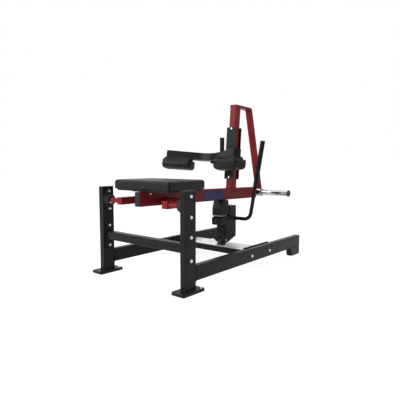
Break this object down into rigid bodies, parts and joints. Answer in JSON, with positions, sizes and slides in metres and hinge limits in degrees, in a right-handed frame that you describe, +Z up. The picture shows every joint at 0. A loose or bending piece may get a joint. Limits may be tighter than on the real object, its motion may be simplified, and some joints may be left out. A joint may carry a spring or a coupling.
{
  "type": "calf raise machine",
  "caption": "Plate-loaded seated calf raise with a pivoting seat and lever, a sliding thigh pad carriage, weight sleeves and a swinging release catch.",
  "frame": {"origin": "on the floor, under the middle of the bounding box", "axes": "+Z up, +Y the way the seated user faces, from the seat to the weight sleeves, +X to the user's right"},
  "size_m": [0.932, 1.619, 1.336],
  "materials": {
    "black_powder_coat": "satin black powder coat",
    "red_powder_coat": "satin deep red powder coat",
    "black_vinyl": "smooth black upholstery vinyl",
    "black_plastic": "moulded black plastic",
    "black_rubber": "matt black rubber",
    "chrome": "polished chrome plate",
    "bright_steel": "bright ground steel",
    "grey_cast_iron": "painted cast iron",
    "painted_board": "black painted plywood",
    "pale_nylon": "pale nylon wear pad"
  },
  "bodies": {
    "frame": {"upright_left": "black_powder_coat", "upright_right": "black_powder_coat", "base_plate_left": "black_powder_coat", "base_plate_right": "black_powder_coat", "rail_left": "black_powder_coat", "rail_right": "black_powder_coat", "rail_foot_left": "black_powder_coat", "rail_foot_right": "black_powder_coat", "front_crossbar": "black_powder_coat", "platform_beam": "black_powder_coat", "catch_lug": "black_powder_coat", "upright_cap_left": "black_plastic", "upright_cap_right": "black_plastic", "rail_cap_left": "black_plastic", "rail_cap_right": "black_plastic", "tread_plate": "bright_steel", "catch_pin": "bright_steel", "bearing_housing_left": "grey_cast_iron", "bearing_housing_right": "grey_cast_iron"},
    "lever": {"pivot_arm_left": "red_powder_coat", "pivot_arm_right": "red_powder_coat", "pivot_shaft_left": "red_powder_coat", "pivot_shaft_right": "red_powder_coat", "main_beam": "red_powder_coat", "beam_rear_plate": "red_powder_coat", "mast": "red_powder_coat", "brace_strap": "red_powder_coat", "guide_plate_front": "black_powder_coat", "guide_plate_rear": "black_powder_coat", "seat_bracket": "black_powder_coat", "stop_bracket": "black_powder_coat", "beam_front_cap": "black_plastic", "sleeve_cap_left": "black_plastic", "sleeve_cap_right": "black_plastic", "stop_wear_pad": "pale_nylon", "sleeve_boss": "chrome", "weight_sleeve_left": "chrome", "weight_sleeve_right": "chrome", "bearing_insert_left": "bright_steel", "bearing_insert_right": "bright_steel", "seat_board": "painted_board", "seat_pad": "black_vinyl"},
    "carriage": {"carriage_sleeve": "black_powder_coat", "thigh_link": "black_powder_coat", "thigh_bar": "black_powder_coat", "hand_grip_stem": "black_powder_coat", "hand_grip": "black_rubber", "pin_barrel": "bright_steel", "thigh_board_left": "painted_board", "thigh_board_right": "painted_board", "thigh_pad_left": "black_vinyl", "thigh_pad_right": "black_vinyl"},
    "lock_pin": {"lock_pin": "bright_steel", "lock_knob": "black_plastic"},
    "catch": {"catch_block": "black_powder_coat", "release_handle": "black_powder_coat", "handle_grip": "black_rubber"}
  },
  "joints": [
    {"name": "lever_pivot", "type": "hinge", "parent": "frame", "child": "lever", "pos_m": [0, -0.70801, 0.551], "axis": [1, 0, 0], "range_deg": [0, 10]},
    {"name": "carriage_slide", "type": "slide", "parent": "lever", "child": "carriage", "axis": [0, 0.0864, 0.9963], "range_m": [-0.11, 0.205]},
    {"name": "lock_pin_pull", "type": "slide", "parent": "carriage", "child": "lock_pin", "axis": [1, 0, 0], "range_m": [0, 0.012], "stiffness_N_per_m": 600, "springref_m": -0.006},
    {"name": "catch_swing", "type": "hinge", "parent": "frame", "child": "catch", "pos_m": [0, 0.19199, 0.165], "axis": [-1, 0, 0], "range_deg": [0, 18]}
  ]
}
